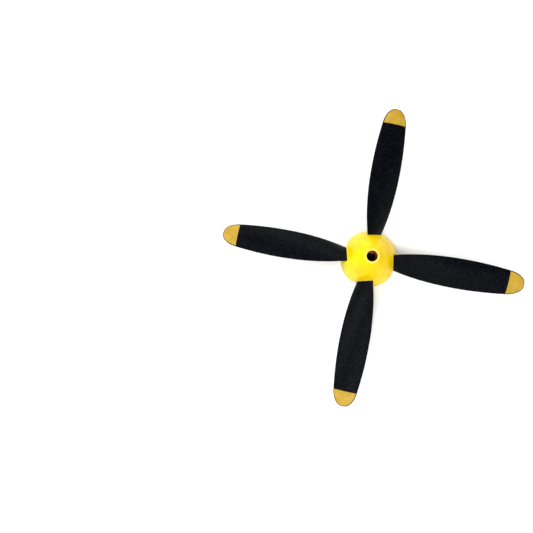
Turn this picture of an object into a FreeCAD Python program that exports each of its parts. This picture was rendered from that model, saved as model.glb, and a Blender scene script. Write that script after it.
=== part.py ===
import FreeCAD, Part
import math
import os
import Sketcher

# Four-blade model aircraft propeller with its spinner, turning on a fixed axle.
# Millimetres. The spin axis is Z, the nose points to +Z, and z = 0 is the rear face of the axle's flange.
# Blade 1 lies along +X and the others follow every 90 degrees, counter-clockwise seen from the nose.

Vector = FreeCAD.Vector
Placement = FreeCAD.Placement
Rotation = FreeCAD.Rotation

doc = FreeCAD.newDocument("propeller")
BLADES = 4
QUARTER = 360 / BLADES
NO_SHIFT = ("0", "0", "0")

# ---------------------------------------------------------------- driving dimensions

DRIVING = {
    # blades
    "prop_radius": 65.0,        # spin axis to blade tip
    "pitch_length": 73.0,       # advance in one turn, which sets the twist
    "chord_root": 8.5,          # where the blade leaves the hub
    "chord_peak": 13.25,        # at its widest
    "chord_end": 8.4,           # what the taper would reach at the tip, before the tip is rounded
    "peak_radius": 36.0,        # where the chord is widest
    "tip_round": 7.0,           # length of the rounded tip
    "tip_power": 2.5,           # superellipse exponent of the rounded tip
    "tip_flat": 1.5,            # width of the last section
    "bulge_root": 0.11,         # upper surface's rise, as a share of the chord
    "bulge_tip": 0.07,
    "edge_root": 0.45,          # thickness of the leading and trailing edges
    "edge_tip": 0.30,
    # blade roots and hub
    "shank_radius": 2.0,
    "fairing_length": 1.5,      # cone from the shank into the blade
    "fairing_end": 0.8,         # its radius where it ends
    "foot_start": 3.7,          # square foot, from the spin axis
    "foot_thick": 0.9,
    "foot_width": 4.8,
    "socket_gap": 0.05,         # between blade root and hub
    "hub_wall": 0.8,            # in front of the feet
    "hub_gap": 0.35,            # hub to spinner
    "airfoil_gap": 0.4,         # hub to the first blade section
    "hub_chamfer": 0.4,
    # spinner
    "spinner_radius": 12.25,
    "spinner_length": 21.4,     # rear rim to the nose, before its lip is rounded
    "rim_height": 0.8,          # rear rim above the axle's rear face
    "plane_height": 7.0,        # rear rim to the blades' plane
    "shoulder_height": 10.25,   # where the belly arc meets the nose arc
    "shoulder_inset": 2.1,      # how far the outline has come in there
    "shell_wall": 1.1,
    "tube_wall": 0.9,           # tube that leads the driver to the axle screw
    "lip_round": 0.4,
    "slot_side_gap": 0.2,       # slot wall to the blade's leading edge
    "slot_front_gap": 0.8,      # slot corner in front of the leading edge
    "slot_trail_gap": 1.35,     # slot wall to the trailing edge
    "slot_rise": 3.44,          # slot corner in front of the trailing edge
    "slot_flare": 1.9,          # how far the trailing wall leans out by the rear
    "flat_draft": 22.5,         # lean of the flat above each slot, in degrees
    "plate_thick": 1.2,
    "plate_gap": 0.1,           # plate edge to shell
    "plate_clear": 0.4,         # plate to the axle flange
    # screws that clamp the hub and the spinner
    "clamp_radius": 0.8,
    "clamp_gap": 0.1,
    "clamp_head_radius": 1.4,
    "clamp_head_height": 0.8,
    "clamp_slot": 0.4,          # driver slot
    "clamp_bite": 2.6,          # thread in the spinner's post
    "post_half": 1.3,
    "post_margin": 0.2,
    "post_angle": 22.0,
    # axle, bushes and washers
    "axle_radius": 1.5,
    "flange_radius": 4.0,
    "flange_thick": 1.35,
    "running_gap": 0.03,        # axle to bush
    "end_play": 0.05,
    "rear_washer_thick": 0.5,
    "rear_washer_radius": 3.3,
    "bush_wall": 0.67,
    "bush_flange_width": 0.7,
    "bush_flange_thick": 0.6,
    "bush_length": 3.6,
    "seat_gap": 0.02,           # between pieces pressed or screwed together
    "front_washer_thick": 0.4,
    "front_washer_gap": 0.2,    # washer edge to tube
    "screw_radius": 1.0,
    "screw_length": 5.0,
    "screw_head_radius": 1.9,
    "screw_head_height": 1.4,
    "screw_socket": 0.75,       # half width of the hexagon socket, across its flats
    "screw_socket_depth": 0.9,
    "nose_gap": 0.4,            # screw head to tube
    "mount_core_radius": 0.8,   # tapping size of an M2 thread
    "mount_depth": 4.5,
    "drill_end": 0.5,
}

# ---------------------------------------------------------------- sizes that follow from them

DERIVED = {
    # stack along the axle
    "washer_top": "dims.flange_thick + dims.rear_washer_thick",
    "bush_low": "sizes.washer_top + dims.end_play",
    "hub_low": "sizes.bush_low + dims.bush_flange_thick",
    "plate_low": "sizes.hub_low - dims.plate_thick",
    "blade_plane": "dims.rim_height + dims.plane_height",
    "hub_top": "sizes.blade_plane + dims.foot_width / 2 + dims.socket_gap + dims.hub_wall",
    "axle_top": "sizes.hub_top + dims.end_play",
    "head_low": "sizes.axle_top + dims.front_washer_thick",
    "nose_top": "dims.rim_height + dims.spinner_length",
    # spinner outline: a belly arc square to the rim, then a nose arc tangent to it
    "belly_arc": "(dims.shoulder_inset ^ 2 + dims.shoulder_height ^ 2) / (2 * dims.shoulder_inset)",
    "nose_hole": "dims.screw_head_radius + dims.nose_gap",
    "tube_radius": "sizes.nose_hole + dims.tube_wall",
    "shoulder_radius": "dims.spinner_radius - dims.shoulder_inset",
    "shoulder_top": "dims.rim_height + dims.shoulder_height",
    "lean_sin": "dims.shoulder_height / sizes.belly_arc",
    "lean_cos": "sqrt(1 - sizes.lean_sin ^ 2)",
    "nose_run": "sizes.shoulder_radius - sizes.nose_hole",
    "nose_rise": "dims.spinner_length - dims.shoulder_height",
    "nose_arc": "(sizes.nose_run ^ 2 + sizes.nose_rise ^ 2)"
                " / (2 * (sizes.lean_cos * sizes.nose_run - sizes.lean_sin * sizes.nose_rise))",
    "inner_belly_arc": "sizes.belly_arc - dims.shell_wall",
    "inner_nose_arc": "sizes.nose_arc - dims.shell_wall",
    "inner_rim": "dims.spinner_radius - dims.shell_wall",
    "inner_shoulder_radius": "sizes.shoulder_radius - dims.shell_wall * sizes.lean_cos",
    "inner_shoulder_top": "sizes.shoulder_top - dims.shell_wall * sizes.lean_sin",
    "nose_centre_radius": "sizes.shoulder_radius - sizes.nose_arc * sizes.lean_cos",
    "nose_centre_height": "sizes.shoulder_top - sizes.nose_arc * sizes.lean_sin",
    "tube_top": "sizes.nose_centre_height + sqrt(sizes.inner_nose_arc ^ 2"
                " - (sizes.tube_radius - sizes.nose_centre_radius) ^ 2)",
    # hub inside the shell, and the screws inside the hub
    "hub_radius": "dims.spinner_radius - sizes.belly_arc + sqrt(sizes.inner_belly_arc ^ 2"
                  " - (sizes.hub_top - dims.rim_height) ^ 2) - dims.hub_gap",
    "clamp_circle": "sizes.hub_radius - dims.post_half - dims.post_margin",
    "clamp_offset": "sizes.clamp_circle * sqrt(0.5)",
    "clamp_hole": "dims.clamp_radius + dims.clamp_gap",
    "post_low_radius": "sizes.clamp_circle - dims.post_half",
    "post_high_radius": "sizes.clamp_circle + dims.post_half",
    "post_arc": "sizes.nose_arc - dims.shell_wall / 2",
    "post_inner_top": "sizes.nose_centre_height + sqrt(sizes.post_arc ^ 2"
                      " - (sizes.post_low_radius - sizes.nose_centre_radius) ^ 2)",
    "post_outer_top": "sizes.nose_centre_height + sqrt(sizes.post_arc ^ 2"
                      " - (sizes.post_high_radius - sizes.nose_centre_radius) ^ 2)",
    "plate_radius": "sizes.inner_rim - dims.plate_gap",
    "plate_hole": "dims.flange_radius + dims.plate_clear",
    # blade roots
    "foot_end": "dims.foot_start + dims.foot_thick",
    "root_radius": "sizes.hub_radius + dims.airfoil_gap",
    "tip_start": "dims.prop_radius - dims.tip_round",
    # slots in the shell, from the blade section at the shoulder, where the leading edge comes out
    "slot_chord": "dims.chord_peak - (dims.chord_peak - dims.chord_root) * ((dims.peak_radius"
                  " - sizes.shoulder_radius) / (dims.peak_radius - sizes.root_radius)) ^ 2",
    "slot_twist": "atan(dims.pitch_length / (2 * pi * sizes.shoulder_radius))",
    "slot_half_width": "sizes.slot_chord / 2 * cos(sizes.slot_twist)",
    "slot_half_height": "sizes.slot_chord / 2 * sin(sizes.slot_twist)",
    "slot_lead": "sizes.slot_half_width + dims.slot_side_gap",
    "slot_lead_top": "sizes.blade_plane + sizes.slot_half_height + dims.slot_front_gap",
    "slot_trail": "-(sizes.slot_half_width + dims.slot_trail_gap)",
    "slot_trail_top": "sizes.blade_plane - sizes.slot_half_height + dims.slot_rise",
    # leaning flat that starts from each slot's front corner
    "slot_corner_radius": "sizes.nose_centre_radius + sqrt(sizes.nose_arc ^ 2"
                          " - (sizes.slot_lead_top - sizes.nose_centre_height) ^ 2)",
    "slot_corner": "sqrt(sizes.slot_corner_radius ^ 2 - sizes.slot_lead ^ 2)",
    "flat_slope": "tan(dims.flat_draft * 1 deg)",
    "flat_top": "sizes.slot_corner - (sizes.nose_top - sizes.slot_lead_top) * sizes.flat_slope",
    "flat_base": "sizes.slot_corner + (sizes.slot_lead_top - dims.rim_height) * sizes.flat_slope",
    # bushes and washers
    "bush_bore": "dims.axle_radius + dims.running_gap",
    "bush_radius": "sizes.bush_bore + dims.bush_wall",
    "bush_flange": "sizes.bush_radius + dims.bush_flange_width",
    "bush_seat": "sizes.bush_radius + dims.seat_gap",
    "front_flange_low": "sizes.hub_top - dims.bush_flange_thick",
    "front_washer_radius": "sizes.nose_hole - dims.front_washer_gap",
    "axle_hole": "dims.screw_radius + dims.seat_gap",
    "axle_hole_depth": "dims.screw_length + dims.drill_end - dims.front_washer_thick",
}


def write_sheet(name, cells):
    sheet = doc.addObject("Spreadsheet::Sheet", name)
    for row, (alias, value) in enumerate(cells.items(), start=1):
        sheet.set(f"A{row}", alias)
        sheet.set(f"B{row}", value)
        sheet.setAlias(f"B{row}", alias)
    doc.recompute()
    return sheet


# The blade is lofted through these stations: even steps out to where the tip starts to round off,
# then closer together. Each has its radius, chord, twist, bulge and edge thickness.
EVEN_STEPS = 6
TIP_SHARES = (0.7, 0.4, 0.2, 0.07, 0.0)
STATIONS = EVEN_STEPS + 1 + len(TIP_SHARES)


def station_cells():
    cells = {}
    for number in range(STATIONS):
        radius = f"sizes.radius_{number}"
        share = TIP_SHARES[number - EVEN_STEPS - 1] if number > EVEN_STEPS else 1
        if number > EVEN_STEPS:
            cells[f"radius_{number}"] = f"=dims.prop_radius - dims.tip_round * {share}"
        else:
            cells[f"radius_{number}"] = (
                f"=sizes.root_radius + (sizes.tip_start - sizes.root_radius) * {number} / {EVEN_STEPS}")
        inner = (f"(dims.chord_peak - dims.chord_root) * ((dims.peak_radius - {radius})"
                 " / (dims.peak_radius - sizes.root_radius)) ^ 2")
        outer = (f"(dims.chord_peak - dims.chord_end) * (({radius} - dims.peak_radius)"
                 " / (dims.prop_radius - dims.peak_radius)) ^ 2")
        taper = f"(dims.chord_peak - ({radius} < dims.peak_radius ? {inner} : {outer}))"
        rounding = f"(1 - {1 - share} ^ dims.tip_power) ^ (1 / dims.tip_power)" if share < 1 else "1"
        cells[f"chord_{number}"] = f"={taper} * {rounding}" if share else "=dims.tip_flat"
        cells[f"twist_{number}"] = f"=atan(dims.pitch_length / (2 * pi * {radius}))"
        along = f"({radius} - sizes.root_radius) / (dims.prop_radius - sizes.root_radius)"
        for part in ("bulge", "edge"):
            change = f"(dims.{part}_tip - dims.{part}_root) * {along}"
            cells[f"{part}_{number}"] = f"=dims.{part}_root + {change}"
    return cells


write_sheet("dims", {alias: str(value) for alias, value in DRIVING.items()})
write_sheet("sizes", {**{alias: "=" + formula for alias, formula in DERIVED.items()}, **station_cells()})

# ---------------------------------------------------------------- sketch and feature helpers


def new_body(label, turn=0.0):
    body = doc.addObject("PartDesign::Body", label)
    body.Label = label
    body.Placement = Placement(Vector(0, 0, 0), Rotation(Vector(0, 0, 1), turn))
    return body


def origin_feature(body, role):
    return next(item for item in body.Origin.OriginFeatures if item.Role == role)


def new_sketch(body, name, plane, shift=NO_SHIFT, turn=None, axis=Vector(0, 0, 1)):
    """A sketch on one of the body's origin planes, moved and turned in the sketch's own axes."""
    sketch = body.newObject("Sketcher::SketchObject", f"{body.Label}_{name}")
    sketch.AttachmentSupport = (origin_feature(body, plane), [""])
    sketch.MapMode = "FlatFace"
    sketch.AttachmentOffset = Placement(Vector(0, 0, 0), Rotation(axis, 1.0))
    for direction, distance in zip("xyz", shift):
        sketch.setExpression(f"AttachmentOffset.Base.{direction}", distance)
    sketch.setExpression("AttachmentOffset.Rotation.Angle", turn or "0")
    return sketch


def bind(sketch, constraint, formula):
    index = sketch.addConstraint(constraint)
    name = f"size_{index}"
    sketch.renameConstraint(index, name)
    sketch.setExpression(f"Constraints.{name}", formula)


def pin_point(sketch, edge, end, where):
    """Ties a point of the sketch to a place given by two formulas."""
    for kind, formula in zip(("DistanceX", "DistanceY"), where):
        value = float(sketch.evalExpression(formula))
        bind(sketch, Sketcher.Constraint(kind, -1, 1, edge, end, value), formula)


def arc_between(start, end, radius, side):
    """An arc from start to end with its centre on the left (1) or the right (-1) of the way."""
    half = (end - start) / 2
    reach = math.sqrt(radius ** 2 - half.Length ** 2)
    left = Vector(-half.y, half.x, 0).normalize()
    centre = start + half + left * (reach * side)
    first, last = (start, end) if side > 0 else (end, start)
    angles = [math.atan2((point - centre).y, (point - centre).x) for point in (first, last)]
    return Part.ArcOfCircle(Part.Circle(centre, Vector(0, 0, 1), radius), *angles)


def draw_outline(sketch, corners):
    """A closed outline. A corner is (x, y) or, where an arc leaves it, (x, y, radius, side)."""
    places = [Vector(*(float(sketch.evalExpression(text)) for text in corner[:2]), 0) for corner in corners]
    starts, ends = [], []
    for index, corner in enumerate(corners):
        here, there = places[index], places[(index + 1) % len(corners)]
        if len(corner) == 2:
            edge = sketch.addGeometry(Part.LineSegment(here, there), False)
            starts.append((edge, 1))
            ends.append((edge, 2))
            continue
        radius, side = corner[2:]
        arc = arc_between(here, there, float(sketch.evalExpression(radius)), side)
        edge = sketch.addGeometry(arc, False)
        starts.append((edge, 1 if side > 0 else 2))
        ends.append((edge, 2 if side > 0 else 1))
    for index, corner in enumerate(corners):
        sketch.addConstraint(Sketcher.Constraint("Coincident", *ends[index - 1], *starts[index]))
        pin_point(sketch, *starts[index], corner[:2])
        if len(corner) > 2:
            value = float(sketch.evalExpression(corner[2]))
            bind(sketch, Sketcher.Constraint("Radius", starts[index][0], value), corner[2])


def draw_circle(sketch, radius, where=("0", "0")):
    centre = Vector(*(float(sketch.evalExpression(text)) for text in where), 0)
    value = float(sketch.evalExpression(radius))
    edge = sketch.addGeometry(Part.Circle(centre, Vector(0, 0, 1), value), False)
    pin_point(sketch, edge, 3, where)
    bind(sketch, Sketcher.Constraint("Radius", edge, value), radius)


def draw_hexagon(sketch, half_width):
    across = f"{half_width} / cos(30)"
    corners = [(f"{across} * cos({60 * step})", f"{across} * sin({60 * step})") for step in range(6)]
    draw_outline(sketch, corners)


def draw_box(sketch, half_width, half_height=None):
    tall = half_height or half_width
    draw_outline(sketch, [(half_width, tall), (f"-({half_width})", tall),
                          (f"-({half_width})", f"-({tall})"), (half_width, f"-({tall})")])


def add_feature(body, kind, sketch, length, reverse=False):
    """A Pad or a Pocket. Pads grow and reversed pockets cut along the sketch's normal."""
    feature = body.newObject(f"PartDesign::{kind}", f"{sketch.Label}_{kind.lower()}")
    feature.Profile = (sketch, [""])
    feature.setExpression("Length", length)
    feature.Reversed = reverse
    before = feature_volume(body)
    body.Tip = feature
    doc.recompute()
    if kind == "Pocket" and feature.Shape.Volume > before - 1e-6:
        raise RuntimeError(f"{feature.Label} cuts nothing")
    return feature


def feature_volume(body):
    return body.Shape.Volume if body.Shape and not body.Shape.isNull() else 0.0


def revolve(body, sketch, angle="360", midplane=False):
    feature = body.newObject("PartDesign::Revolution", f"{sketch.Label}_turned")
    feature.Profile = (sketch, [""])
    feature.ReferenceAxis = (sketch, ["V_Axis"])
    feature.setExpression("Angle", angle)
    feature.Midplane = midplane
    body.Tip = feature
    doc.recompute()
    return feature


def repeat_round(body, features):
    pattern = body.newObject("PartDesign::PolarPattern", f"{features[0].Label}_pattern")
    pattern.Originals = features
    pattern.Axis = (origin_feature(body, "Z_Axis"), [""])
    pattern.Angle = 360
    pattern.Occurrences = BLADES
    body.Tip = pattern
    doc.recompute()
    return pattern


def circular_edges(feature, radius, height):
    """Names of the feature's full or part circles about Z with that radius and height."""
    names = []
    for index, edge in enumerate(feature.Shape.Edges, start=1):
        curve = edge.Curve
        if not isinstance(curve, Part.Circle):
            continue
        on_axis = math.hypot(curve.Center.x, curve.Center.y) < 1e-6
        if on_axis and abs(curve.Radius - radius) < 1e-4 and abs(curve.Center.z - height) < 1e-4:
            names.append(f"Edge{index}")
    return names


def soften(body, kind, size, radius, height):
    """A Fillet or a Chamfer on the circular edges at that radius and height."""
    sheet = doc.getObject("sizes")
    places = [float(sheet.evalExpression(text)) for text in (radius, height)]
    base = body.Tip
    feature = body.newObject(f"PartDesign::{kind}", f"{body.Label}_{kind.lower()}")
    feature.Base = (base, circular_edges(base, *places))
    feature.setExpression("Radius" if kind == "Fillet" else "Size", size)
    body.Tip = feature
    doc.recompute()
    return feature


# ---------------------------------------------------------------- pieces that stay still


def make_axle():
    """Steel axle: a flange that seats on the aircraft, a shaft, and a threaded hole at each end."""
    body = new_body("axle")
    outline = new_sketch(body, "outline", "XZ_Plane")
    draw_outline(outline, [
        ("0", "0"),
        ("dims.flange_radius", "0"),
        ("dims.flange_radius", "dims.flange_thick"),
        ("dims.axle_radius", "dims.flange_thick"),
        ("dims.axle_radius", "sizes.axle_top"),
        ("0", "sizes.axle_top"),
    ])
    revolve(body, outline)
    rear = new_sketch(body, "rear_hole", "XY_Plane")
    draw_circle(rear, "dims.mount_core_radius")
    add_feature(body, "Pocket", rear, "dims.mount_depth", reverse=True)
    front = new_sketch(body, "front_hole", "XY_Plane", ("0", "0", "sizes.axle_top"))
    draw_circle(front, "sizes.axle_hole")
    add_feature(body, "Pocket", front, "sizes.axle_hole_depth")
    soften(body, "Chamfer", "dims.flange_thick / 5", "dims.flange_radius", "0")


def make_ring(label, low, thick, inner, outer):
    body = new_body(label)
    face = new_sketch(body, "face", "XY_Plane", ("0", "0", low))
    draw_circle(face, outer)
    draw_circle(face, inner)
    add_feature(body, "Pad", face, thick)
    return body


def make_axle_screw():
    """Socket cap screw that keeps the propeller on the axle, with its head in the nose tube."""
    body = new_body("axle_screw")
    head = new_sketch(body, "head", "XY_Plane", ("0", "0", "sizes.head_low"))
    draw_circle(head, "dims.screw_head_radius")
    add_feature(body, "Pad", head, "dims.screw_head_height")
    thread = new_sketch(body, "thread", "XY_Plane", ("0", "0", "sizes.head_low"))
    draw_circle(thread, "dims.screw_radius")
    add_feature(body, "Pad", thread, "dims.screw_length", reverse=True)
    socket = new_sketch(body, "socket", "XY_Plane", ("0", "0", "sizes.head_low + dims.screw_head_height"))
    draw_hexagon(socket, "dims.screw_socket")
    add_feature(body, "Pocket", socket, "dims.screw_socket_depth")
    soften(body, "Chamfer", "dims.screw_head_height / 8", "dims.screw_head_radius",
           "sizes.head_low + dims.screw_head_height")


# ---------------------------------------------------------------- pieces that turn


def make_bush(label, flange_low, sleeve_reversed):
    """Flanged brass bush pressed into a hub half."""
    body = make_ring(label, flange_low, "dims.bush_flange_thick", "sizes.bush_bore", "sizes.bush_flange")
    start = flange_low if sleeve_reversed else f"{flange_low} + dims.bush_flange_thick"
    sleeve = new_sketch(body, "sleeve", "XY_Plane", ("0", "0", start))
    draw_circle(sleeve, "sizes.bush_radius")
    draw_circle(sleeve, "sizes.bush_bore")
    add_feature(body, "Pad", sleeve, "dims.bush_length", reverse=sleeve_reversed)


def cut_blade_sockets(body):
    """Round sockets for the shanks and square pockets for the feet, one of each per blade."""
    shank = new_sketch(body, "shank_socket", "YZ_Plane", ("0", "sizes.blade_plane", "dims.foot_start"))
    draw_circle(shank, "dims.shank_radius + dims.socket_gap")
    shank_cut = add_feature(body, "Pocket", shank, "sizes.hub_radius", reverse=True)
    foot = new_sketch(body, "foot_pocket", "YZ_Plane",
                      ("0", "sizes.blade_plane", "dims.foot_start - dims.socket_gap"))
    draw_box(foot, "dims.foot_width / 2 + dims.socket_gap")
    foot_cut = add_feature(body, "Pocket", foot, "dims.foot_thick + dims.socket_gap", reverse=True)
    repeat_round(body, [shank_cut, foot_cut])


def drill_clamp_holes(body, low, depth, radius):
    hole = new_sketch(body, "clamp_hole", "XY_Plane", ("0", "0", low))
    draw_circle(hole, radius, ("sizes.clamp_offset", "sizes.clamp_offset"))
    repeat_round(body, [add_feature(body, "Pocket", hole, depth, reverse=True)])


def make_hub_half(label, low, high, edge):
    """Moulded hub half. The two halves close on the blade roots at the blades' plane."""
    height = f"{high} - {low}"
    body = make_ring(label, low, height, "sizes.bush_seat", "sizes.hub_radius")
    soften(body, "Chamfer", "dims.hub_chamfer", "sizes.hub_radius", edge)
    cut_blade_sockets(body)
    drill_clamp_holes(body, low, height, "sizes.clamp_hole")
    return body


def make_hub():
    make_hub_half("hub_rear", "sizes.hub_low", "sizes.blade_plane", "sizes.hub_low")
    front = make_hub_half("hub_front", "sizes.blade_plane", "sizes.hub_top", "sizes.hub_top")
    recess = new_sketch(front, "flange_recess", "XY_Plane", ("0", "0", "sizes.front_flange_low"))
    draw_circle(recess, "sizes.bush_flange + dims.seat_gap")
    add_feature(front, "Pocket", recess, "dims.bush_flange_thick", reverse=True)


def draw_airfoil(sketch, number):
    """Flat underside, arched upper side and blunt edges, with the leading edge at +x."""
    chord, edge = f"sizes.chord_{number}", f"sizes.edge_{number}"
    rise = f"({chord} * sizes.bulge_{number})"
    arc = f"(({chord} / 2) ^ 2 + {rise} ^ 2) / (2 * {rise})"
    draw_outline(sketch, [(f"-{chord} / 2", f"-{edge} / 2"), (f"{chord} / 2", f"-{edge} / 2"),
                          (f"{chord} / 2", f"{edge} / 2", arc, 1), (f"-{chord} / 2", f"{edge} / 2")])


def make_blade(number):
    """Twisted blade, lofted through its stations, on a round shank with a square foot."""
    body = new_body(f"blade_{number}", QUARTER * (number - 1))
    sections = []
    for station in range(STATIONS):
        shift = ("0", "sizes.blade_plane", f"sizes.radius_{station}")
        section = new_sketch(body, f"station_{station}", "YZ_Plane", shift, f"sizes.twist_{station}")
        draw_airfoil(section, station)
        sections.append(section)
    loft = body.newObject("PartDesign::AdditiveLoft", f"{body.Label}_airfoil")
    loft.Profile = (sections[0], [""])
    loft.Sections = [(section, [""]) for section in sections[1:]]
    body.Tip = loft
    doc.recompute()
    shank = new_sketch(body, "shank", "YZ_Plane", ("0", "sizes.blade_plane", "dims.foot_start"))
    draw_circle(shank, "dims.shank_radius")
    add_feature(body, "Pad", shank, "sizes.root_radius - dims.foot_start")
    fairing = new_sketch(body, "fairing", "YZ_Plane", ("0", "sizes.blade_plane", "sizes.root_radius"))
    draw_circle(fairing, "dims.shank_radius")
    cone = add_feature(body, "Pad", fairing, "dims.fairing_length")
    cone.setExpression("TaperAngle", "atan((dims.fairing_end - dims.shank_radius) / dims.fairing_length)")
    foot = new_sketch(body, "foot", "YZ_Plane", ("0", "sizes.blade_plane", "dims.foot_start"))
    draw_box(foot, "dims.foot_width / 2")
    add_feature(body, "Pad", foot, "dims.foot_thick")


def make_spinner_shell():
    """Hollow spinner with a nose tube, four screw posts, and four slots with a flat above each."""
    body = new_body("spinner_shell")
    wall = new_sketch(body, "wall", "XZ_Plane")
    draw_outline(wall, [
        ("dims.spinner_radius", "dims.rim_height", "sizes.belly_arc", 1),
        ("sizes.shoulder_radius", "sizes.shoulder_top", "sizes.nose_arc", 1),
        ("sizes.nose_hole", "sizes.nose_top"),
        ("sizes.nose_hole", "sizes.hub_top"),
        ("sizes.tube_radius", "sizes.hub_top"),
        ("sizes.tube_radius", "sizes.tube_top", "sizes.inner_nose_arc", -1),
        ("sizes.inner_shoulder_radius", "sizes.inner_shoulder_top", "sizes.inner_belly_arc", -1),
        ("sizes.inner_rim", "dims.rim_height"),
    ])
    revolve(body, wall)
    soften(body, "Fillet", "dims.lip_round", "sizes.nose_hole", "sizes.nose_top")
    post = new_sketch(body, "post", "XZ_Plane", turn="45", axis=Vector(0, 1, 0))
    draw_outline(post, [
        ("sizes.post_low_radius", "sizes.hub_top"),
        ("sizes.post_high_radius", "sizes.hub_top"),
        ("sizes.post_high_radius", "sizes.post_outer_top", "sizes.post_arc", 1),
        ("sizes.post_low_radius", "sizes.post_inner_top"),
    ])
    repeat_round(body, [revolve(body, post, "dims.post_angle", midplane=True)])
    flat = new_sketch(body, "flat", "XZ_Plane", ("0", "0", "sizes.slot_trail"))
    draw_outline(flat, [
        ("sizes.flat_top", "sizes.nose_top"),
        ("sizes.flat_base", "sizes.nose_top"),
        ("sizes.flat_base", "dims.rim_height"),
    ])
    flat_cut = add_feature(body, "Pocket", flat, "-2 * sizes.slot_trail", reverse=True)
    slot = new_sketch(body, "slot", "YZ_Plane", ("0", "0", "sizes.foot_end"))
    draw_outline(slot, [
        ("sizes.slot_lead", "0"),
        ("sizes.slot_lead", "sizes.slot_lead_top"),
        ("sizes.slot_trail", "sizes.slot_trail_top"),
        ("sizes.slot_trail - dims.slot_flare", "0"),
    ])
    slot_cut = add_feature(body, "Pocket", slot, "dims.spinner_radius", reverse=True)
    repeat_round(body, [flat_cut, slot_cut])
    drill_clamp_holes(body, "sizes.hub_top", "dims.clamp_bite + dims.drill_end",
                      "dims.clamp_radius + dims.seat_gap")


def make_spinner_backplate():
    body = make_ring("spinner_backplate", "sizes.plate_low", "dims.plate_thick", "sizes.plate_hole",
                     "sizes.plate_radius")
    soften(body, "Chamfer", "dims.plate_thick / 4", "sizes.plate_radius", "sizes.plate_low")
    drill_clamp_holes(body, "sizes.plate_low", "dims.plate_thick", "sizes.clamp_hole")


def make_clamp_screw(number):
    """Slotted screw from the rear, through the plate and both hub halves, into a post of the spinner."""
    body = new_body(f"clamp_screw_{number}", QUARTER * (number - 1))
    where = ("sizes.clamp_offset", "sizes.clamp_offset")
    head = new_sketch(body, "head", "XY_Plane", ("0", "0", "sizes.plate_low"))
    draw_circle(head, "dims.clamp_head_radius", where)
    add_feature(body, "Pad", head, "dims.clamp_head_height", reverse=True)
    thread = new_sketch(body, "thread", "XY_Plane", ("0", "0", "sizes.plate_low"))
    draw_circle(thread, "dims.clamp_radius", where)
    add_feature(body, "Pad", thread, "sizes.hub_top + dims.clamp_bite - sizes.plate_low")
    driver = new_sketch(body, "driver", "XY_Plane", (*where, "sizes.plate_low - dims.clamp_head_height"))
    draw_box(driver, "dims.clamp_head_radius + dims.clamp_slot", "dims.clamp_slot / 2")
    add_feature(body, "Pocket", driver, "dims.clamp_head_height / 2", reverse=True)


# ---------------------------------------------------------------- build, check and write

make_axle()
make_ring("rear_washer", "dims.flange_thick", "dims.rear_washer_thick", "sizes.bush_bore",
          "dims.rear_washer_radius")
make_ring("front_washer", "sizes.axle_top", "dims.front_washer_thick", "sizes.axle_hole",
          "sizes.front_washer_radius")
make_axle_screw()
make_bush("rear_bush", "sizes.bush_low", sleeve_reversed=False)
make_bush("front_bush", "sizes.front_flange_low", sleeve_reversed=True)
make_hub()
make_spinner_shell()
make_spinner_backplate()
for place in range(1, BLADES + 1):
    make_blade(place)
    make_clamp_screw(place)

doc.recompute()
for item in doc.Objects:
    if {"Invalid", "Error"} & set(item.State):
        raise RuntimeError(f"{item.Label} did not compute: {item.State}")

os.makedirs("parts", exist_ok=True)
for body in doc.findObjects("PartDesign::Body"):
    shape = body.Shape
    if shape.isNull() or not shape.isValid() or len(shape.Solids) != 1:
        raise RuntimeError(f"{body.Label} is not one valid solid")
    shape.exportStep(f"parts/{body.Label}.step")
    print(f"{body.Label}: {shape.Volume:.1f} mm3")
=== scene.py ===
import bpy
import bmesh
import math
from mathutils import Euler, Matrix, Vector


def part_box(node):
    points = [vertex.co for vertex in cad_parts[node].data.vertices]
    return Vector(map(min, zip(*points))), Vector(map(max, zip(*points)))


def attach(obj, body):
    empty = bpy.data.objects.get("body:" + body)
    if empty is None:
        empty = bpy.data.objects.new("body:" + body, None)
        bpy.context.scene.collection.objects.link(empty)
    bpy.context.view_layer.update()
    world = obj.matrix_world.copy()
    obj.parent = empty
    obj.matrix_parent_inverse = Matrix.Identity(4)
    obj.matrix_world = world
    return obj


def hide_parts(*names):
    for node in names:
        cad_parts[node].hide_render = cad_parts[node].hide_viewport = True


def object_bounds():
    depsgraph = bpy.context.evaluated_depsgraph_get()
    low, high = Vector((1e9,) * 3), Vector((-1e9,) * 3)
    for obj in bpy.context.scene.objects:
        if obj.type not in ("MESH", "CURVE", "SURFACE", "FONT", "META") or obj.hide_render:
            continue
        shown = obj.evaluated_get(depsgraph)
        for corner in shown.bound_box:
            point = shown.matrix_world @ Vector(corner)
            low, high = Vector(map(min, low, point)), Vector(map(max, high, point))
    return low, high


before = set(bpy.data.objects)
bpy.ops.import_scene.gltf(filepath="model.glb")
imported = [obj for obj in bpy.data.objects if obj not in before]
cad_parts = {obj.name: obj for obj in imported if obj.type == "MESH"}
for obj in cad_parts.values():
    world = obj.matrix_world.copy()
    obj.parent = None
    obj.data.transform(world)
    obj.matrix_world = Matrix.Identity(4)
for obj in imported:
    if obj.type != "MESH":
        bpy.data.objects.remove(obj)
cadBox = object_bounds()
millimetre = 0.001

fromFrame = {
    "tipRadius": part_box("blade_1")[1].x / millimetre,
    "footStart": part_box("blade_1")[0].x / millimetre,
    "rimHeight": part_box("spinner_shell")[0].z / millimetre,
    "hubTop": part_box("hub_front")[1].z / millimetre,
    "hubRadius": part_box("hub_front")[1].x / millimetre,
    "shellReach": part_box("spinner_shell")[1].x / millimetre,
    "bladePlane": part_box("hub_front")[0].z / millimetre,
}


def linearColour(hexColour):
    channels = [int(hexColour[i:i + 2], 16) / 255 for i in (1, 3, 5)]
    return tuple(c / 12.92 if c <= 0.04045 else ((c + 0.055) / 1.055) ** 2.4 for c in channels) + (1.0,)


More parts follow.
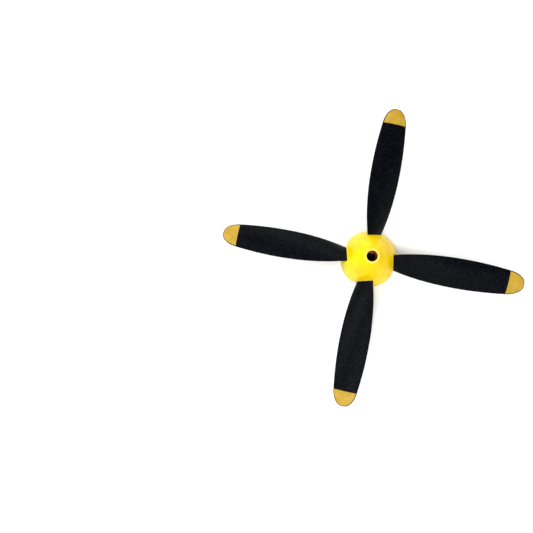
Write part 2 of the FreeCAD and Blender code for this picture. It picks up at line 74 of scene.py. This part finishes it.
def mix(a, b, share):
    return a + (b - a) * share


def smoothStep(share):
    share = min(max(share, 0.0), 1.0)
    return share * share * (3 - 2 * share)


def meshObject(name, verts, faces):
    mesh = bpy.data.meshes.new(name)
    mesh.from_pydata([Vector(v) * millimetre for v in verts], [], faces)
    build = bmesh.new()
    build.from_mesh(mesh)
    bmesh.ops.recalc_face_normals(build, faces=build.faces)
    build.to_mesh(mesh)
    build.free()
    made = bpy.data.objects.new(name, mesh)
    bpy.context.scene.collection.objects.link(made)
    return made


def smoothByAngle(made, degrees):
    made.data.shade_smooth()
    made.data.set_sharp_from_angle(angle=math.radians(degrees))


def applyModifiers(made):
    graph = bpy.context.evaluated_depsgraph_get()
    done = bpy.data.meshes.new_from_object(made.evaluated_get(graph))
    made.modifiers.clear()
    old = made.data
    made.data = done
    done.name = made.name
    bpy.data.meshes.remove(old)


def ringFaces(rings, count):
    faces = []
    for ring in range(rings - 1):
        for step in range(count):
            after = (step + 1) % count
            faces.append((ring * count + step, ring * count + after,
                          (ring + 1) * count + after, (ring + 1) * count + step))
    return faces


def fillInputs(tree, node, inputs):
    # inputs are given by name or number; another node's socket is linked and anything else is a value
    for name, value in inputs.items():
        if isinstance(value, bpy.types.NodeSocket):
            tree.links.new(value, node.inputs[name])
        else:
            node.inputs[name].default_value = value


def addNode(tree, kind, inputs, stops=(), **settings):
    # stops are a colour ramp's places and colours
    node = tree.nodes.new("ShaderNode" + kind)
    for name, value in settings.items():
        setattr(node, name, value)
    for index, (place, colour) in enumerate(stops):
        elements = node.color_ramp.elements
        element = elements[index] if index < 2 else elements.new(place)
        element.position = place
        element.color = linearColour(colour)
    fillInputs(tree, node, inputs)
    return node


def newMaterial(name):
    material = bpy.data.materials.new(name)
    material.use_nodes = True
    tree = material.node_tree
    place = addNode(tree, "TexCoord", {}).outputs["Object"]
    return material, tree, tree.nodes["Principled BSDF"], place


def scaleFor(size):
    # texture scale that makes one patch that many millimetres wide
    return 1 / (size * millimetre)


def finishPiece(piece, material, slotName, *nodes):
    piece.data.materials.clear()
    piece.data.materials.append(material)
    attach(piece, "propeller")
    if nodes:
        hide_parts(*nodes)


blade = {
    "pitch": 73.0,            # advance in one turn, sets the twist
    "rootChord": 8.5,
    "widestChord": 13.25,
    "endChord": 8.4,          # what the taper would reach at the tip
    "widestRadius": 36.0,
    "tipRound": 7.0,          # length of the rounded tip
    "tipPower": 2.5,
    "thinBelow": 1.6,         # the edges thin out where half the chord is less than this
    "tipClose": 0.9997,       # where the last ring stands, as a share of the way to the very tip
    "rootBulge": 0.11,        # rise of the upper side, share of the chord
    "tipBulge": 0.07,
    "rootEdge": 0.45,
    "tipEdge": 0.30,
    "trailingShare": 0.62,    # trailing edge thickness against the leading edge
    "shankRadius": 2.0,
    "footThick": 0.9,
    "footHalf": 2.4,
    "footCorner": 0.35,
    "rootGap": 0.1,           # hub to where the shank starts to widen
    "blendLength": 0.45,      # from the round shank to the full section
    "aroundSteps": 72,
    "alongSteps": 96,
    "tipSteps": 34,
}


def mouldedNylonBlack():
    # glass-filled nylon from a spark-eroded mould: deep blue-black with a soft, slightly uneven sheen
    material, tree, shader, place = newMaterial("mouldedNylonBlack")
    # the mould's own grain is about 0.1 mm wide; it is drawn 0.8 mm wide and 0.12 mm deep, so that it shows
    grain = addNode(tree, "TexNoise", {"Vector": place, "Scale": scaleFor(0.8), "Detail": 3.0,
                                       "Roughness": 0.6}).outputs["Fac"]
    colour = addNode(tree, "ValToRGB", {"Fac": grain}, [(0.38, "#000002"), (0.66, "#0d0f14")])
    rubbed = addNode(tree, "TexNoise", {"Vector": place, "Scale": scaleFor(4.0), "Detail": 4.0,
                                        "Roughness": 0.6}).outputs["Fac"]
    sheen = addNode(tree, "MapRange", {"Value": rubbed, "To Min": 0.3, "To Max": 0.46})
    bump = addNode(tree, "Bump", {"Height": grain, "Distance": 0.12 * millimetre, "Strength": 1.0})
    fillInputs(tree, shader, {"Base Color": colour.outputs["Color"], "Roughness": sheen.outputs["Result"],
                              "Normal": bump.outputs["Normal"], "IOR": 1.53, "Specular IOR Level": 0.03})
    return material


def bladeChord(radius):
    tip = fromFrame["tipRadius"]
    root = fromFrame["hubRadius"]
    if radius < blade["widestRadius"]:
        away = (blade["widestRadius"] - radius) / (blade["widestRadius"] - root)
        return blade["widestChord"] - (blade["widestChord"] - blade["rootChord"]) * away ** 2
    away = (radius - blade["widestRadius"]) / (tip - blade["widestRadius"])
    return blade["widestChord"] - (blade["widestChord"] - blade["endChord"]) * away ** 2


def bladeHalfWidth(radius, inset=0.0):
    start = fromFrame["tipRadius"] - blade["tipRound"]
    share = max(0.0, (radius - start) / (blade["tipRound"] - inset))
    rounding = max(0.0, 1 - share ** blade["tipPower"]) ** (1 / blade["tipPower"])
    return (bladeChord(radius) / 2 - inset) * rounding


def alongShare(radius):
    return (radius - fromFrame["hubRadius"]) / (fromFrame["tipRadius"] - fromFrame["hubRadius"])


def bladeSurface(radius, across, upper, inset=0.0):
    # across runs from -1 at the trailing edge to 1 at the leading edge
    half = bladeHalfWidth(radius)
    reach = across * bladeHalfWidth(radius, inset)
    slim = min(1.0, half / blade["thinBelow"])
    edge = mix(blade["rootEdge"], blade["tipEdge"], alongShare(radius)) * slim
    edge *= mix(blade["trailingShare"], 1.0, smoothStep(across / 2 + 0.5))
    bulge = mix(blade["rootBulge"], blade["tipBulge"], alongShare(radius)) * 2 * half
    toEdge = min(half - abs(reach), edge / 2)
    rounded = math.sqrt(max(0.0, (edge / 2) ** 2 - (edge / 2 - toEdge) ** 2))
    share = reach / half if half > 1e-6 else 0.0
    height = rounded + bulge * (1 - share ** 2) if upper else -rounded
    return reach, height


def onBlade(radius, reach, height):
    # a point of the flat section, turned by the blade's twist at that radius
    twist = math.atan(blade["pitch"] / (2 * math.pi * max(radius, fromFrame["hubRadius"])))
    return (radius, reach * math.cos(twist) - height * math.sin(twist),
            fromFrame["bladePlane"] + reach * math.sin(twist) + height * math.cos(twist))


def squarePoint(angle, half, corner):
    # a point of a square with rounded corners, seen at that angle
    flat = half - corner
    x, y = math.cos(angle), math.sin(angle)
    reach = half / max(abs(x), abs(y))
    px, py = x * reach, y * reach
    overX, overY = abs(px) - flat, abs(py) - flat
    if overX > 0 and overY > 0:
        length = math.hypot(overX, overY)
        px = math.copysign(flat + overX / length * corner, px)
        py = math.copysign(flat + overY / length * corner, py)
    return px, py


def bladeVerts():
    count = blade["aroundSteps"]
    angles = [2 * math.pi * (step + 0.5) / count for step in range(count)]
    start, footEnd = fromFrame["footStart"], fromFrame["footStart"] + blade["footThick"]
    root, tip = fromFrame["hubRadius"] + blade["rootGap"], fromFrame["tipRadius"]
    plane = fromFrame["bladePlane"]
    verts = []
    for radius in (start, footEnd):
        for angle in angles:
            y, z = squarePoint(angle, blade["footHalf"], blade["footCorner"])
            verts.append((radius, y, plane + z))
    for radius in (footEnd, mix(footEnd, root, 0.5), root):
        for angle in angles:
            verts.append((radius, blade["shankRadius"] * math.cos(angle),
                          plane + blade["shankRadius"] * math.sin(angle)))
    tipStart = tip - blade["tipRound"]
    radii = [mix(root, tipStart, ((step + 1) / blade["alongSteps"])) for step in range(blade["alongSteps"])]
    radii = [root + blade["blendLength"] * share for share in (0.12, 0.25, 0.4, 0.55, 0.7, 0.85)] + [
        radius for radius in radii if radius > root + blade["blendLength"] * 0.9]
    tipShares = [math.sin(math.pi / 2 * (step + 1) / blade["tipSteps"]) for step in range(blade["tipSteps"])]
    radii += [tipStart + blade["tipRound"] * share * blade["tipClose"] for share in tipShares]
    for radius in radii:
        share = smoothStep((radius - root) / blade["blendLength"])
        twist = math.atan(blade["pitch"] / (2 * math.pi * radius))
        for angle in angles:
            reach, height = bladeSurface(radius, math.cos(angle), math.sin(angle) > 0)
            full = onBlade(radius, reach, height)
            turned = angle + twist        # the round section turns with the blade, so edges stay straight
            roundY = blade["shankRadius"] * math.cos(turned)
            roundZ = plane + blade["shankRadius"] * math.sin(turned)
            verts.append((radius, mix(roundY, full[1], share), mix(roundZ, full[2], share)))
    return verts, count


def makeBlade(number):
    verts, count = bladeVerts()
    rings = len(verts) // count
    faces = ringFaces(rings, count)
    faces.append(tuple(range(count)))
    faces.append(tuple(range((rings - 1) * count, rings * count)))
    piece = meshObject(f"moulded_blade_{number}", verts, faces)
    piece.data.transform(Matrix.Rotation(math.radians(90 * (number - 1)), 4, "Z"))
    smoothByAngle(piece, 50)
    finishPiece(piece, bladeNylon, "blade_plastic", f"blade_{number}")


tipPrint = {
    "length": 6.7,            # from the tip inwards
    "inset": 0.38,            # bare edge left round the ink
    "thickness": 0.035,
    "sunk": 0.02,
    "endGap": 0.002,          # keeps the last row of the sheet from closing to a point
    "acrossSteps": 40,
    "alongSteps": 44,
}


def padPrintedInk():
    # mustard yellow ink over black nylon: flat and slightly thin, so the black dulls it in patches
    material, tree, shader, place = newMaterial("padPrintedInk")
    patch = addNode(tree, "TexNoise", {"Vector": place, "Scale": scaleFor(3.0), "Detail": 4.0,
                                       "Roughness": 0.6}).outputs["Fac"]
    colour = addNode(tree, "ValToRGB", {"Fac": patch}, [(0.3, "#9a7a1c"), (0.7, "#b08e2c")])
    dry = addNode(tree, "TexNoise", {"Vector": place, "Scale": scaleFor(1.0),
                                     "Detail": 3.0}).outputs["Fac"]
    sheen = addNode(tree, "MapRange", {"Value": dry, "To Min": 0.42, "To Max": 0.6})
    # the nylon's grain comes through the ink
    grain = addNode(tree, "TexNoise", {"Vector": place, "Scale": scaleFor(0.3),
                                       "Detail": 2.0}).outputs["Fac"]
    bump = addNode(tree, "Bump", {"Height": grain, "Distance": 0.006 * millimetre, "Strength": 0.5})
    fillInputs(tree, shader, {"Base Color": colour.outputs["Color"], "Roughness": sheen.outputs["Result"],
                              "Normal": bump.outputs["Normal"], "IOR": 1.5, "Specular IOR Level": 0.25})
    return material


def printPatch(upper):
    # a thin closed sheet of ink that follows one side of the tip
    across, along = tipPrint["acrossSteps"], tipPrint["alongSteps"]
    start = fromFrame["tipRadius"] - tipPrint["length"]
    end = fromFrame["tipRadius"] - tipPrint["inset"]
    sign = 1 if upper else -1
    verts = []
    for lift in (tipPrint["thickness"], -tipPrint["sunk"]):
        for step in range(along + 1):
            radius = mix(start, end, math.sin(math.pi / 2 * step / along))
            radius = min(radius, end - tipPrint["endGap"])
            for place in range(across + 1):
                share = math.sin(math.pi / 2 * (2 * place / across - 1))
                reach, height = bladeSurface(radius, share, upper, tipPrint["inset"])
                verts.append(onBlade(radius, reach, height + sign * lift))
    width, layer = across + 1, (across + 1) * (along + 1)
    faces = []
    for step in range(along):
        for place in range(across):
            corner = step * width + place
            quad = (corner, corner + 1, corner + width + 1, corner + width)
            faces += [quad, tuple(layer + index for index in reversed(quad))]
    rim = [place for place in range(width)] + [step * width + across for step in range(1, along + 1)]
    rim += [along * width + place for place in range(across - 1, -1, -1)]
    rim += [step * width for step in range(along - 1, 0, -1)]
    for index, here in enumerate(rim):
        there = rim[(index + 1) % len(rim)]
        faces.append((here, there, layer + there, layer + here))
    return verts, faces


def makePrint(number):
    verts, faces = printPatch(True)
    backVerts, backFaces = printPatch(False)
    faces += [tuple(index + len(verts) for index in face) for face in backFaces]
    piece = meshObject(f"tip_print_{number}", verts + backVerts, faces)
    piece.data.transform(Matrix.Rotation(math.radians(90 * (number - 1)), 4, "Z"))
    smoothByAngle(piece, 50)
    finishPiece(piece, tipInk, "blade_plastic")


bladeNylon = mouldedNylonBlack()
tipInk = padPrintedInk()
for number in range(1, 5):
    makeBlade(number)
    makePrint(number)
print("blades and tip prints made")

spinner = {
    "length": 21.4,
    "shoulderHeight": 10.25,
    "shoulderInset": 2.1,
    "wall": 1.1,
    "holeRadius": 2.3,
    "tubeWall": 0.9,
    "lipRound": 0.4,
    "slotStart": 4.6,
    "slotLead": 3.17,         # wall beside the leading edge
    "slotLeadTop": 12.0,
    "slotTrail": -4.32,
    "slotTrailTop": 7.84,
    "slotFlare": 1.9,         # how far the trailing wall leans out by the rear
    "slotCorner": 0.35,
    "slotTrailCorner": 1.6,
    "flatDraft": 22.5,        # lean of the flat above each slot, in degrees
    "flatCuts": 20,           # keeps the painted edge highlight off the middle of the flats
    "edgeRound": 0.16,
    "postInner": 5.6,
    "postOuter": 8.2,
    "postAngle": 22.0,
    "turnSteps": 256,
}


def mouldedAbsYellow():
    # thin-walled ABS from a polished mould: lemon yellow with faint flow clouds; pale colour is painted on
    # its sharp edges and nose lip as a highlight, for light that catches and shines through the thin edges,
    # and orange is painted deep in the nose tube as a glow of light through the wall
    material, tree, shader, place = newMaterial("mouldedAbsYellow")
    flow = addNode(tree, "TexNoise", {"Vector": place, "Scale": scaleFor(4.5), "Detail": 4.0,
                                      "Roughness": 0.6}).outputs["Fac"]
    body = addNode(tree, "ValToRGB", {"Fac": flow}, [(0.3, "#d6ae00"), (0.55, "#dcbd00"), (0.7, "#e0ca00")])
    # painted highlight: pale colour on sharp edges, where pointiness is high, stands in for light caught by
    # and shining through the thin edges
    corners = addNode(tree, "NewGeometry", {}).outputs["Pointiness"]
    edgeHighlight = addNode(tree, "MapRange", {"Value": corners, "From Min": 0.515, "From Max": 0.57})
    axes = addNode(tree, "SeparateXYZ", {"Vector": place})
    level = addNode(tree, "CombineXYZ", {"X": axes.outputs["X"], "Y": axes.outputs["Y"]})
    fromAxis = addNode(tree, "VectorMath", {0: level.outputs[0]}, operation="LENGTH").outputs["Value"]
    # painted highlight: a pale ring on the rounded nose lip stands in for the light it catches
    lip = spinner["holeRadius"] + spinner["lipRound"]
    ring = addNode(tree, "MapRange", {"Value": fromAxis, "From Min": (lip + 0.35) * millimetre,
                                      "From Max": (lip - 0.1) * millimetre})
    paintedHighlight = addNode(tree, "Math", {0: edgeHighlight.outputs[0], 1: ring.outputs[0]}, operation="MAXIMUM",
                   use_clamp=True)
    highlightedBody = addNode(tree, "Mix", {0: paintedHighlight.outputs[0], 6: body.outputs["Color"], 7: linearColour("#eedc6a")},
                    data_type="RGBA")
    # painted glow: orange base colour deep inside the nose tube stands in for light shining through the wall
    tubeWall = (spinner["holeRadius"] + 0.12) * millimetre
    inTube = addNode(tree, "Math", {0: fromAxis, 1: tubeWall}, operation="LESS_THAN")
    top = fromFrame["rimHeight"] + spinner["length"]
    depth = addNode(tree, "MapRange", {"Value": axes.outputs["Z"], "From Min": (top - 0.9) * millimetre,
                                       "From Max": (top - 2.2) * millimetre})
    tubeGlow = addNode(tree, "Math", {0: inTube.outputs[0], 1: depth.outputs[0]}, operation="MULTIPLY")
    colour = addNode(tree, "Mix", {0: tubeGlow.outputs[0], 6: highlightedBody.outputs[2], 7: linearColour("#de4c0c")},
                     data_type="RGBA")
    handled = addNode(tree, "TexNoise", {"Vector": place, "Scale": scaleFor(2.5), "Detail": 4.0,
                                         "Roughness": 0.6}).outputs["Fac"]
    sheen = addNode(tree, "MapRange", {"Value": handled, "To Min": 0.32, "To Max": 0.46})
    sink = addNode(tree, "TexNoise", {"Vector": place, "Scale": scaleFor(1.6),
                                      "Detail": 3.0}).outputs["Fac"]
    bump = addNode(tree, "Bump", {"Height": sink, "Distance": 0.012 * millimetre, "Strength": 0.6})
    fillInputs(tree, shader, {"Base Color": colour.outputs[2], "Roughness": sheen.outputs["Result"],
                              "Normal": bump.outputs["Normal"], "IOR": 1.54, "Specular IOR Level": 0.12,
                              "Subsurface Weight": 0.15, "Subsurface Radius": (1.0, 0.55, 0.05),
                              "Subsurface Scale": 0.6 * millimetre})
    return material


def arcPoints(centre, radius, start, end, steps):
    return [(centre[0] + radius * math.cos(mix(start, end, step / steps)),
             centre[1] + radius * math.sin(mix(start, end, step / steps))) for step in range(steps + 1)]


def rimRadius():
    # the slots cut the rim where it crosses the axes, so its radius comes from a slot's corner
    return math.hypot(fromFrame["shellReach"], spinner["slotLead"])


def spinnerArcs():
    # a belly arc square to the rim, then a nose arc tangent to it
    inset, height = spinner["shoulderInset"], spinner["shoulderHeight"]
    belly = (inset ** 2 + height ** 2) / (2 * inset)
    lean = math.asin(height / belly)
    run = rimRadius() - inset - spinner["holeRadius"]
    rise = spinner["length"] - height
    nose = (run ** 2 + rise ** 2) / (2 * (math.cos(lean) * run - math.sin(lean) * rise))
    bellyCentre = (rimRadius() - belly, fromFrame["rimHeight"])
    noseCentre = (bellyCentre[0] - (nose - belly) * math.cos(lean),
                  bellyCentre[1] - (nose - belly) * math.sin(lean))
    return belly, nose, lean, bellyCentre, noseCentre


def spinnerOutline():
    belly, nose, lean, bellyCentre, noseCentre = spinnerArcs()
    lip, hole = spinner["lipRound"], spinner["holeRadius"]
    lipX = hole + lip                          # the lip is an arc tangent to the hole and to the nose arc
    lipZ = noseCentre[1] + math.sqrt((nose - lip) ** 2 - (lipX - noseCentre[0]) ** 2)
    lipAngle = math.atan2(lipZ - noseCentre[1], lipX - noseCentre[0])
    tube = hole + spinner["tubeWall"]
    innerNose, innerBelly = nose - spinner["wall"], belly - spinner["wall"]
    tubeAngle = math.acos((tube - noseCentre[0]) / innerNose)
    outline = arcPoints(bellyCentre, belly, 0, lean, 36)
    outline += arcPoints(noseCentre, nose, lean, lipAngle, 36)[1:]
    outline += arcPoints((lipX, lipZ), lip, lipAngle, math.pi, 10)[1:]
    outline += [(hole, mix(lipZ, fromFrame["hubTop"], share)) for share in (0.25, 0.5, 0.75, 1.0)]
    outline += [(tube, fromFrame["hubTop"])]
    outline += arcPoints(noseCentre, innerNose, tubeAngle, lean, 24)
    outline += arcPoints(bellyCentre, innerBelly, lean, 0, 24)[1:]
    return outline


def turnedMesh(name, outline, steps, angle=360.0, middle=0.0):
    # a closed outline of (radius, height) turned about the spin axis
    whole = angle >= 360
    rings = steps if whole else steps + 1
    verts = []
    for ring in range(rings):
        turn = math.radians(middle + angle * (ring / steps - 0.5))
        verts += [(r * math.cos(turn), r * math.sin(turn), z) for r, z in outline]
    count = len(outline)
    faces = ringFaces(rings, count)
    if whole:
        last = (rings - 1) * count
        for step in range(count):
            after = (step + 1) % count
            faces.append((last + step, last + after, after, step))
    else:
        faces += [tuple(range(count)), tuple(range((rings - 1) * count, rings * count))]
    return meshObject(name, verts, faces)


def slotOutline():
    # seen along the blade: a straight wall beside the leading edge, a slanted front, rounded front corners
    lead, leadTop = spinner["slotLead"], spinner["slotLeadTop"]
    trail, trailTop = spinner["slotTrail"], spinner["slotTrailTop"]
    corners = [Vector((lead, 0)), Vector((lead, leadTop)), Vector((trail, trailTop)),
               Vector((trail - spinner["slotFlare"], 0))]
    outline = [corners[0]]
    for index, rounding in ((1, spinner["slotCorner"]), (2, spinner["slotTrailCorner"])):
        here = corners[index]
        before = (corners[index - 1] - here).normalized()
        after = (corners[index + 1] - here).normalized()
        half = before.angle(after) / 2
        tangent = rounding / math.tan(half)
        centre = here + (before + after).normalized() * (rounding / math.sin(half))
        first, last = here + before * tangent, here + after * tangent
        start = math.atan2(first.y - centre.y, first.x - centre.x)
        sweep = math.atan2(last.y - centre.y, last.x - centre.x) - start
        sweep = (sweep + math.pi) % (2 * math.pi) - math.pi
        outline += [Vector(p) for p in arcPoints(centre, rounding, start, start + sweep, 10)]
    return outline + [corners[3]]


def slotCutter():
    outline = slotOutline()
    count = len(outline)
    verts, faces = [], []
    for quarter in range(4):
        turn = Matrix.Rotation(math.radians(90 * quarter), 3, "Z")
        first = len(verts)
        for reach in (spinner["slotStart"], rimRadius() + 2):
            verts += [turn @ Vector((reach, p.x, p.y)) for p in outline]
        faces += [tuple(first + index for index in face) for face in ringFaces(2, count)]
        faces += [tuple(range(first, first + count)), tuple(range(first + count, first + 2 * count))]
    return meshObject("slot_cutter", verts, faces)


def flatCutter():
    # seen from the side of a blade: everything outside a line that leans out from the slot's front corner
    belly, nose, lean, bellyCentre, noseCentre = spinnerArcs()
    corner = noseCentre[0] + math.sqrt(nose ** 2 - (spinner["slotLeadTop"] - noseCentre[1]) ** 2)
    corner = math.sqrt(corner ** 2 - spinner["slotLead"] ** 2)
    slope = math.tan(math.radians(spinner["flatDraft"]))
    low, high = fromFrame["rimHeight"] - 1, fromFrame["rimHeight"] + spinner["length"] + 1
    top = corner - (high - spinner["slotLeadTop"]) * slope
    base = corner + (spinner["slotLeadTop"] - low) * slope
    half = -spinner["slotTrail"]
    verts, faces = [], []
    for quarter in range(4):
        turn = Matrix.Rotation(math.radians(90 * quarter), 3, "Z")
        first = len(verts)
        for y in (-half, half):
            verts += [turn @ Vector((x, y, z)) for x, z in ((top, high), (base, high), (base, low))]
        faces += [(first, first + 1, first + 2), (first + 5, first + 4, first + 3)]
        faces += [tuple(first + i for i in quad) for quad in ((0, 3, 4, 1), (1, 4, 5, 2), (2, 5, 3, 0))]
    cutter = meshObject("flat_cutter", verts, faces)
    build = bmesh.new()
    build.from_mesh(cutter.data)
    bmesh.ops.subdivide_edges(build, edges=build.edges[:], cuts=spinner["flatCuts"], use_grid_fill=True)
    build.to_mesh(cutter.data)
    build.free()
    return cutter


def combine(piece, other, operation):
    modifier = piece.modifiers.new(operation.lower(), "BOOLEAN")
    modifier.operation = operation
    modifier.solver = "EXACT"
    modifier.object = other
    applyModifiers(piece)
    bpy.data.objects.remove(other)


def makeSpinner():
    belly, nose, lean, bellyCentre, noseCentre = spinnerArcs()
    piece = turnedMesh("spinner_dome", spinnerOutline(), spinner["turnSteps"])
    middle = nose - spinner["wall"] / 2
    posts = [math.acos((r - noseCentre[0]) / middle) for r in (spinner["postOuter"], spinner["postInner"])]
    top = arcPoints(noseCentre, middle, *posts, 6)
    base = fromFrame["hubTop"]
    for quarter in range(4):
        post = turnedMesh("post", [(spinner["postInner"], base), (spinner["postOuter"], base)] + top, 8,
                          spinner["postAngle"], 45 + 90 * quarter)
        combine(piece, post, "UNION")
    combine(piece, flatCutter(), "DIFFERENCE")
    combine(piece, slotCutter(), "DIFFERENCE")
    bevel = piece.modifiers.new("edges", "BEVEL")
    bevel.width = spinner["edgeRound"] * millimetre
    bevel.segments = 3
    bevel.limit_method = "ANGLE"
    bevel.angle_limit = math.radians(32)
    applyModifiers(piece)
    smoothByAngle(piece, 34)
    finishPiece(piece, spinnerAbs, "spinner_plastic", "spinner_shell")


spinnerAbs = mouldedAbsYellow()
makeSpinner()
print("spinner made")


def mouldedNylonHub():
    # the same nylon, matt where the hub halves come from a rougher mould
    material, tree, shader, place = newMaterial("mouldedNylonHub")
    cloud = addNode(tree, "TexNoise", {"Vector": place, "Scale": scaleFor(5.0),
                                       "Detail": 3.0}).outputs["Fac"]
    colour = addNode(tree, "ValToRGB", {"Fac": cloud}, [(0.3, "#121316"), (0.7, "#1c1e22")])
    rubbed = addNode(tree, "TexNoise", {"Vector": place, "Scale": scaleFor(1.2),
                                        "Detail": 3.0}).outputs["Fac"]
    sheen = addNode(tree, "MapRange", {"Value": rubbed, "To Min": 0.5, "To Max": 0.68})
    grain = addNode(tree, "TexNoise", {"Vector": place, "Scale": scaleFor(0.3),
                                       "Detail": 2.0}).outputs["Fac"]
    bump = addNode(tree, "Bump", {"Height": grain, "Distance": 0.015 * millimetre, "Strength": 0.7})
    fillInputs(tree, shader, {"Base Color": colour.outputs["Color"], "Roughness": sheen.outputs["Result"],
                              "Normal": bump.outputs["Normal"], "IOR": 1.53, "Specular IOR Level": 0.15})
    return material


def blackOxideSteel():
    # hardened screw steel with a black oxide skin: nearly black, with worn brown-grey glints
    material, tree, shader, place = newMaterial("blackOxideSteel")
    worn = addNode(tree, "TexNoise", {"Vector": place, "Scale": scaleFor(0.8), "Detail": 4.0,
                                      "Roughness": 0.6}).outputs["Fac"]
    colour = addNode(tree, "ValToRGB", {"Fac": worn}, [(0.35, "#0c0c0e"), (0.8, "#211f1d")])
    sheen = addNode(tree, "MapRange", {"Value": worn, "To Min": 0.34, "To Max": 0.55})
    skin = addNode(tree, "TexNoise", {"Vector": place, "Scale": scaleFor(0.25),
                                      "Detail": 2.0}).outputs["Fac"]
    bump = addNode(tree, "Bump", {"Height": skin, "Distance": 0.006 * millimetre, "Strength": 0.5})
    fillInputs(tree, shader, {"Base Color": colour.outputs["Color"], "Roughness": sheen.outputs["Result"],
                              "Normal": bump.outputs["Normal"], "Metallic": 1.0})
    return material


def turnedMetal(name, dark, light, smoothest, roughest):
    # bare metal off the lathe: a clean shine, broken by fine rings about the spin axis and a little stain
    material, tree, shader, place = newMaterial(name)
    # a fine cut leaves rings about 0.05 mm apart and they are drawn 0.754 mm apart, so that they show
    perRing = 2 * math.pi / 20                # the wave texture's own length of one ring
    rings = addNode(tree, "TexWave", {"Vector": place, "Scale": scaleFor(0.754) * perRing, "Distortion": 0.4,
                                      "Detail": 2.0}, wave_type="RINGS", rings_direction="Z")
    stain = addNode(tree, "TexNoise", {"Vector": place, "Scale": scaleFor(1.5), "Detail": 4.0,
                                       "Roughness": 0.6}).outputs["Fac"]
    colour = addNode(tree, "ValToRGB", {"Fac": stain}, [(0.3, dark), (0.7, light)])
    sheen = addNode(tree, "MapRange", {"Value": stain, "To Min": smoothest, "To Max": roughest})
    bump = addNode(tree, "Bump", {"Height": rings.outputs["Fac"], "Distance": 0.004 * millimetre,
                                  "Strength": 0.5})
    fillInputs(tree, shader, {"Base Color": colour.outputs["Color"], "Roughness": sheen.outputs["Result"],
                              "Normal": bump.outputs["Normal"], "Metallic": 1.0})
    return material


hubNylon = mouldedNylonHub()
screwSteel = blackOxideSteel()
turnedSteel = turnedMetal("turnedSteel", "#9a9ca0", "#c2c4c8", 0.25, 0.4)
turnedBrass = turnedMetal("turnedBrass", "#b98f45", "#d8b26a", 0.22, 0.38)
keptFinishes = {
    "spinner_backplate": spinnerAbs,
    "hub_rear": hubNylon,
    "hub_front": hubNylon,
    "rear_bush": turnedBrass,
    "front_bush": turnedBrass,
    "axle": turnedSteel,
    "rear_washer": turnedSteel,
    "front_washer": turnedSteel,
    "axle_screw": screwSteel,
}
keptFinishes.update({f"clamp_screw_{number}": screwSteel for number in range(1, 5)})
for nodeName, material in keptFinishes.items():
    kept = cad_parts[nodeName]
    kept.data.materials.clear()
    kept.data.materials.append(material)
print("kept nodes finished:", len(keptFinishes))


stage = {
    "floorSize": 4.0,
    "world": 0.14,
    "lights": {                # place in metres, size in metres, power in watts
        "left": ((-0.54, 0.12, 0.48), 0.5, 5.2),
        "right": ((0.62, -0.10, 0.34), 0.5, 2.2),
        "near": ((0.05, -0.62, 0.34), 0.5, 1.8),
        "far": ((-0.05, 0.62, 0.36), 0.5, 3.0),
        "above": ((0.0, -0.24, 0.54), 0.3, 2.2),
    },
    "lens": 37.8,
    "cameraShift": 0.0548,
    "cameraTurn": (0.31, 5.83, 10.41),
    "rimFromCamera": (45.13, 16.08, -248.12),
}


def coatedPaper():
    # smooth white paper sweep: bright and even, so that nothing distracts from the piece
    material, tree, shader, place = newMaterial("coatedPaper")
    fibre = addNode(tree, "TexNoise", {"Vector": place, "Scale": scaleFor(60.0),
                                       "Detail": 2.0}).outputs["Fac"]
    colour = addNode(tree, "ValToRGB", {"Fac": fibre}, [(0.3, "#f6f6f6"), (0.7, "#f8f8f8")])
    sheen = addNode(tree, "MapRange", {"Value": fibre, "To Min": 0.75, "To Max": 0.85})
    fillInputs(tree, shader, {"Base Color": colour.outputs["Color"], "Roughness": sheen.outputs["Result"],
                              "IOR": 1.45, "Specular IOR Level": 0.15})
    return material


def makeFloor():
    half = stage["floorSize"] / 2 / millimetre
    corners = [(-half, -half, 0), (half, -half, 0), (half, half, 0), (-half, half, 0)]
    floor = meshObject("paper_floor", corners, [(0, 1, 2, 3)])
    floor.location.z = cadBox[0].z
    floor.data.materials.append(coatedPaper())


def makeLight(name, place, size, power):
    data = bpy.data.lights.new(name, "AREA")
    data.shape = "DISK"
    data.size = size
    data.energy = power
    lamp = bpy.data.objects.new(name, data)
    lamp.location = place
    lamp.rotation_euler = (-Vector(place)).to_track_quat("-Z", "Y").to_euler()
    bpy.context.scene.collection.objects.link(lamp)


def makeCamera():
    data = bpy.data.cameras.new("camera")
    data.lens = stage["lens"]
    data.sensor_width = 36.0
    data.shift_y = stage["cameraShift"]
    data.clip_start = 0.01
    camera = bpy.data.objects.new("camera", data)
    turn = Euler([math.radians(a) for a in stage["cameraTurn"]], "XYZ").to_matrix()
    camera.rotation_euler = turn.to_euler()
    fromCamera = Vector(stage["rimFromCamera"]) * millimetre
    rim = Vector((0, 0, fromFrame["rimHeight"])) * millimetre
    camera.location = rim - turn @ fromCamera
    bpy.context.scene.collection.objects.link(camera)
    bpy.context.scene.camera = camera
    print("camera at", [round(v, 4) for v in camera.location])


def makeWorld():
    world = bpy.data.worlds.new("studio")
    world.use_nodes = True
    fillInputs(world.node_tree, world.node_tree.nodes["Background"],
               {"Color": linearColour("#ffffff"), "Strength": stage["world"]})
    bpy.context.scene.world = world


makeWorld()
makeFloor()
for lightName, values in stage["lights"].items():
    makeLight(lightName, *values)
makeCamera()
bpy.context.scene.view_settings.view_transform = "Standard"
print("stage made")
